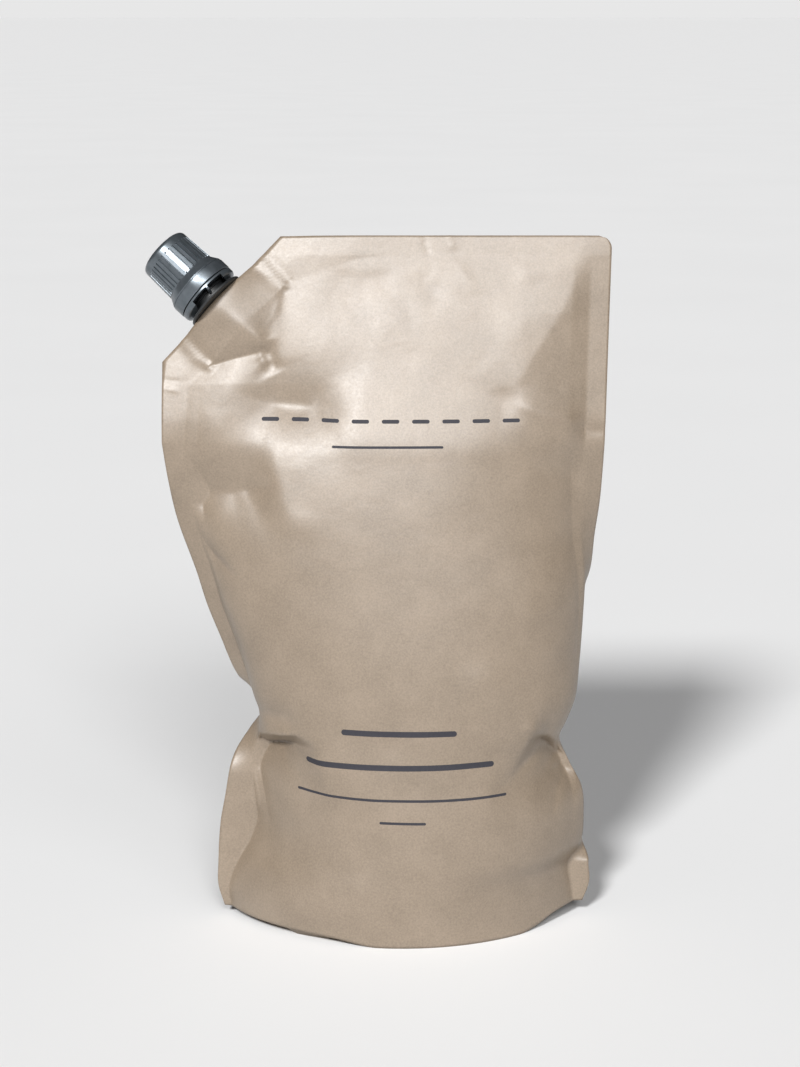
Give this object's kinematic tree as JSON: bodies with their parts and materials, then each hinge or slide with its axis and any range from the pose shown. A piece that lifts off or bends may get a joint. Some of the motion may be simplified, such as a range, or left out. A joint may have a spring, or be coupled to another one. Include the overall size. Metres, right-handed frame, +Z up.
{
  "type": "hand soap refill pack",
  "caption": "Stand-up spouted refill pouch of kraft-look film with a corner spout and a ribbed screw cap.",
  "frame": {"origin": "centre of the flat patch of the bottom fold that the pack stands on, at floor level", "axes": "+Z up, -Y is the printed front panel, +X to the right seen from the front; the spout points up and to -X"},
  "size_m": [0.1909, 0.0782, 0.2886],
  "materials": {
    "kraft_film": "matte kraft-look laminate with a soft sheen",
    "spout_plastic": "dark grey moulded plastic",
    "cap_plastic": "steel-grey moulded plastic with a metallic sheen"
  },
  "bodies": {
    "pack": {"pouch": "kraft_film", "spout": "spout_plastic", "tamper_ring": "cap_plastic"},
    "cap": {"cap": "cap_plastic"}
  },
  "joints": [
    {"name": "cap_turn", "type": "hinge", "parent": "pack", "child": "cap", "pos_m": [-0.07648, 0.01481, 0.26066], "axis": [-0.7285, 0.2408, 0.6413], "range_deg": [0, 540]}
  ]
}
